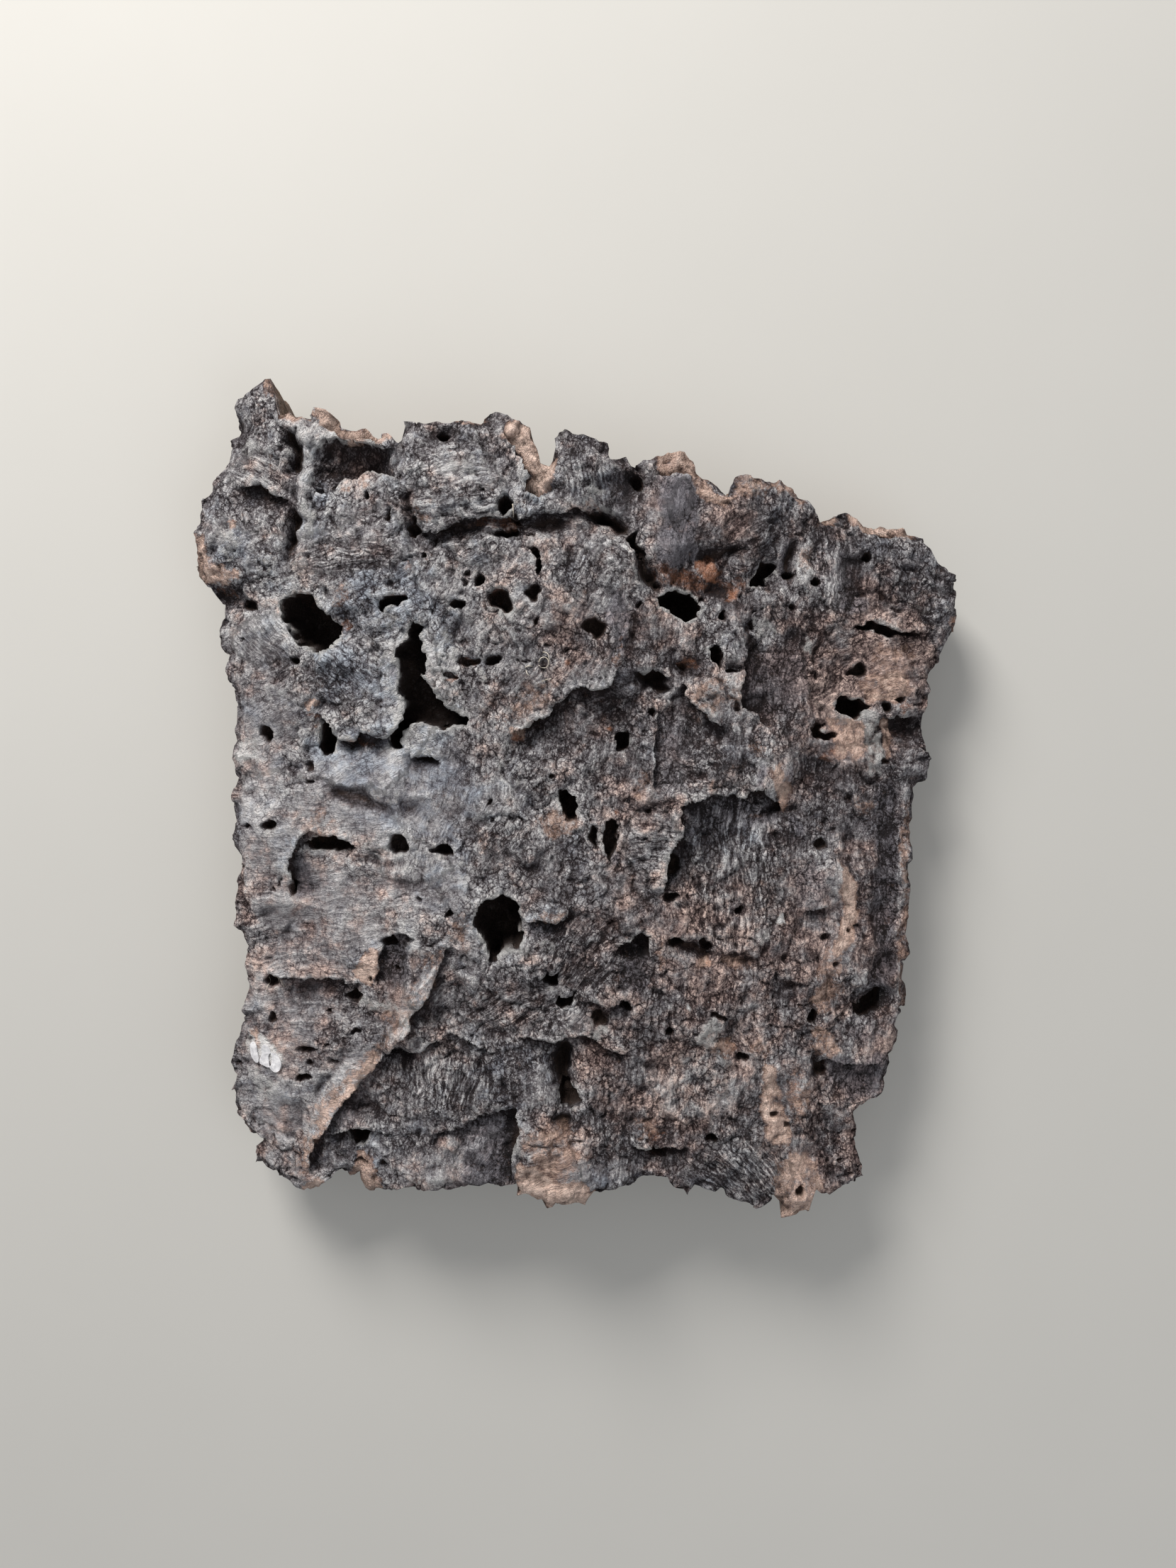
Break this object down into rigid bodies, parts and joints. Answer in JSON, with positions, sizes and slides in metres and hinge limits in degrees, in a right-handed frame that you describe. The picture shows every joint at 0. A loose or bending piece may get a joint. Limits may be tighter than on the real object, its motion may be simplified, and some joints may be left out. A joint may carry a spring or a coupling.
{
  "type": "cork bark slab",
  "caption": "Slab of dried cork bark lying on its back, with rough plated and pitted outer bark, broken edges and a shallow arched inner side.",
  "frame": {"origin": "bottom centre of the slab's bounding box, on the surface it lies on", "axes": "+Y up the trunk along the slab's long way, +X to the right as seen from the outer bark, +Z out of the outer bark"},
  "size_m": [0.2898, 0.3193, 0.0525],
  "materials": {
    "weathered_cork": "dry, rough, weathered grey-brown bark"
  },
  "bodies": {
    "root": {"cork_bark_slab": "weathered_cork"}
  },
  "joints": []
}
